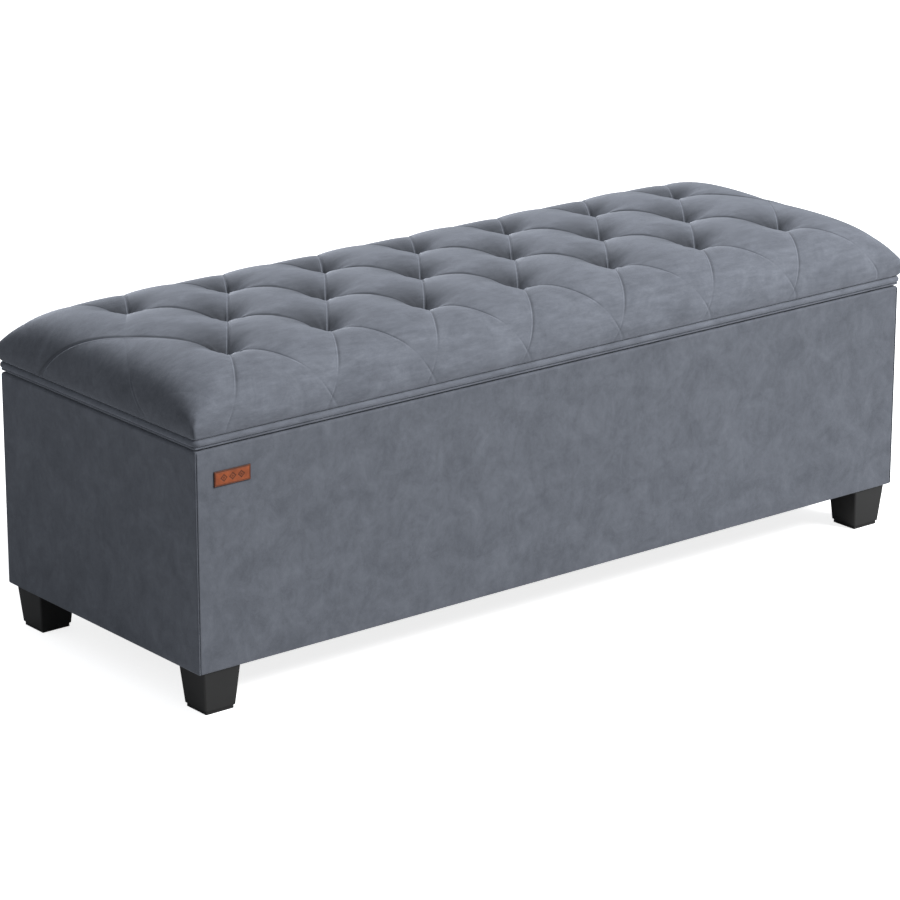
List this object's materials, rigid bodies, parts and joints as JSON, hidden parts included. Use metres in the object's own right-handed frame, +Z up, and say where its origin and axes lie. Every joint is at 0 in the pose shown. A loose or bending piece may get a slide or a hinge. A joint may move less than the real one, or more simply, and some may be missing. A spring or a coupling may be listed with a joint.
{
  "type": "storage bench",
  "caption": "Upholstered storage bench: a velvet-covered box on short square feet, with a diamond-tufted cushioned lid that hinges at the back and is held by gas struts.",
  "frame": {"origin": "on the floor, under the centre of the bench", "axes": "+X along the bench to its right end as seen from the front, -Y out of the front, +Z up"},
  "size_m": [1.102, 0.406, 0.409],
  "materials": {
    "velvet": "matte",
    "lining": "matte",
    "board": "matte",
    "block_wood": "matte",
    "foot_plastic": "satin",
    "glide_plastic": "matte",
    "zinc_steel": "satin",
    "hinge_steel": "satin",
    "strut_paint": "satin",
    "strut_chrome": "polished",
    "tag_leather": "satin",
    "foam": "matte",
    "twine": "matte",
    "toggle_plastic": "matte",
    "bumper_rubber": "matte"
  },
  "bodies": {
    "box": {"front_cover": "velvet", "back_cover": "velvet", "left_cover": "velvet", "right_cover": "velvet", "front_liner": "lining", "back_liner": "lining", "left_liner": "lining", "right_liner": "lining", "bottom_liner": "lining", "dust_cover": "lining", "front_panel": "board", "back_panel": "board", "left_panel": "board", "right_panel": "board", "bottom_panel": "board", "corner_block_front_left": "block_wood", "corner_block_front_right": "block_wood", "corner_block_back_left": "block_wood", "corner_block_back_right": "block_wood", "foot_front_left": "foot_plastic", "foot_front_right": "foot_plastic", "foot_back_left": "foot_plastic", "foot_back_right": "foot_plastic", "foot_glides": "glide_plastic", "foot_studs": "zinc_steel", "foot_inserts": "zinc_steel", "corner_brackets": "zinc_steel", "carcass_screws": "zinc_steel", "corner_bracket_screws": "zinc_steel", "hinge_box_screws": "zinc_steel", "strut_box_screws": "zinc_steel", "hinge_left_box_leaf": "hinge_steel", "hinge_left_pin": "hinge_steel", "hinge_right_box_leaf": "hinge_steel", "hinge_right_pin": "hinge_steel", "strut_left_box_bracket": "hinge_steel", "strut_right_box_bracket": "hinge_steel", "leather_tag": "tag_leather"},
    "lid": {"lid_panel": "board", "lid_foam": "foam", "lid_cover": "velvet", "lid_welt": "velvet", "lid_band": "velvet", "lid_lining": "lining", "tuft_ties": "twine", "tuft_toggles": "toggle_plastic", "hinge_left_lid_leaf": "hinge_steel", "hinge_right_lid_leaf": "hinge_steel", "hinge_lid_screws": "zinc_steel", "strut_left_lid_bracket": "hinge_steel", "strut_right_lid_bracket": "hinge_steel", "strut_lid_screws": "zinc_steel", "lid_bumpers": "bumper_rubber"},
    "strut_left_tube": {"strut_left_cylinder": "strut_paint"},
    "strut_right_tube": {"strut_right_cylinder": "strut_paint"},
    "strut_left_piston": {"strut_left_rod": "strut_chrome"},
    "strut_right_piston": {"strut_right_rod": "strut_chrome"}
  },
  "joints": [
    {"name": "lid_hinge", "type": "hinge", "parent": "box", "child": "lid", "pos_m": [0, 0.198, 0.32], "axis": [-1, 0, 0], "range_deg": [0, 80]},
    {"name": "strut_left_lower_pivot", "type": "hinge", "parent": "box", "child": "strut_left_tube", "pos_m": [-0.505, 0.15128, 0.15654], "axis": [-1, 0, 0], "range_deg": [0, 40]},
    {"name": "strut_left_upper_pivot", "type": "hinge", "parent": "lid", "child": "strut_left_piston", "pos_m": [-0.505, 0.02842, 0.30799], "axis": [-1, 0, 0], "range_deg": [-40, 0]},
    {"name": "strut_right_lower_pivot", "type": "hinge", "parent": "box", "child": "strut_right_tube", "pos_m": [0.505, 0.15128, 0.15654], "axis": [-1, 0, 0], "range_deg": [0, 40]},
    {"name": "strut_right_upper_pivot", "type": "hinge", "parent": "lid", "child": "strut_right_piston", "pos_m": [0.505, 0.02842, 0.30799], "axis": [-1, 0, 0], "range_deg": [-40, 0]}
  ],
  "couplings": [
    {"joint": "strut_left_lower_pivot", "follows": "lid_hinge", "ratio": 0.5},
    {"joint": "strut_left_upper_pivot", "follows": "lid_hinge", "ratio": -0.5},
    {"joint": "strut_right_lower_pivot", "follows": "lid_hinge", "ratio": 0.5},
    {"joint": "strut_right_upper_pivot", "follows": "lid_hinge", "ratio": -0.5}
  ]
}
